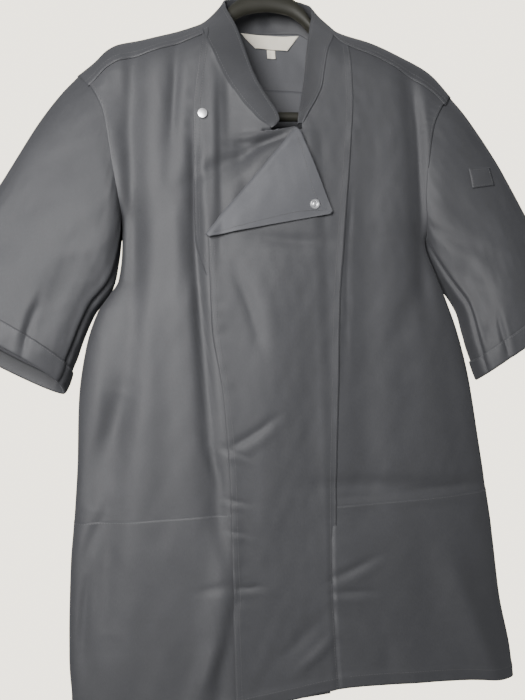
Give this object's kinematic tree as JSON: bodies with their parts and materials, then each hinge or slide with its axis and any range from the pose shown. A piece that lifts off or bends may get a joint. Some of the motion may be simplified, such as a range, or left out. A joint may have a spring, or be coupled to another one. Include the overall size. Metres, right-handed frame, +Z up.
{
  "type": "chef jacket on a hanger",
  "caption": "Short-sleeved dark grey chef jacket with stand collar, crossed front folded open at the neck, lower pockets and turned cuffs, on a plastic hanger.",
  "frame": {"origin": "inside top of the hook, where the hanger hangs on a rail or peg", "axes": "+Z up; -Y is the front of the jacket; +X is to the viewer's right, the wearer's left"},
  "size_m": [0.7697, 0.1011, 0.8878],
  "materials": {
    "twill": "charcoal twill with a soft satin sheen",
    "twill_inside": "inner face of the charcoal twill, slightly paler",
    "label": "cream woven satin label, blank",
    "snap_steel": "bright nickel",
    "hanger_plastic": "dark grey, slightly glossy",
    "hook_steel": "polished wire"
  },
  "bodies": {
    "root": {"back": "twill", "yoke": "twill", "side_front_left": "twill", "side_front_right": "twill", "under_front": "twill", "overlap_front": "twill", "flap": "twill_inside", "pocket_left": "twill", "pocket_right": "twill", "collar": "twill", "sleeve_left": "twill", "sleeve_right": "twill", "cuff_left": "twill", "cuff_right": "twill", "sleeve_patch": "twill", "neck_label": "label", "size_tab": "label", "snap_stud": "snap_steel", "snap_socket": "snap_steel", "hanger": "hanger_plastic", "trouser_bar": "hanger_plastic", "hook": "hook_steel"}
  },
  "joints": []
}
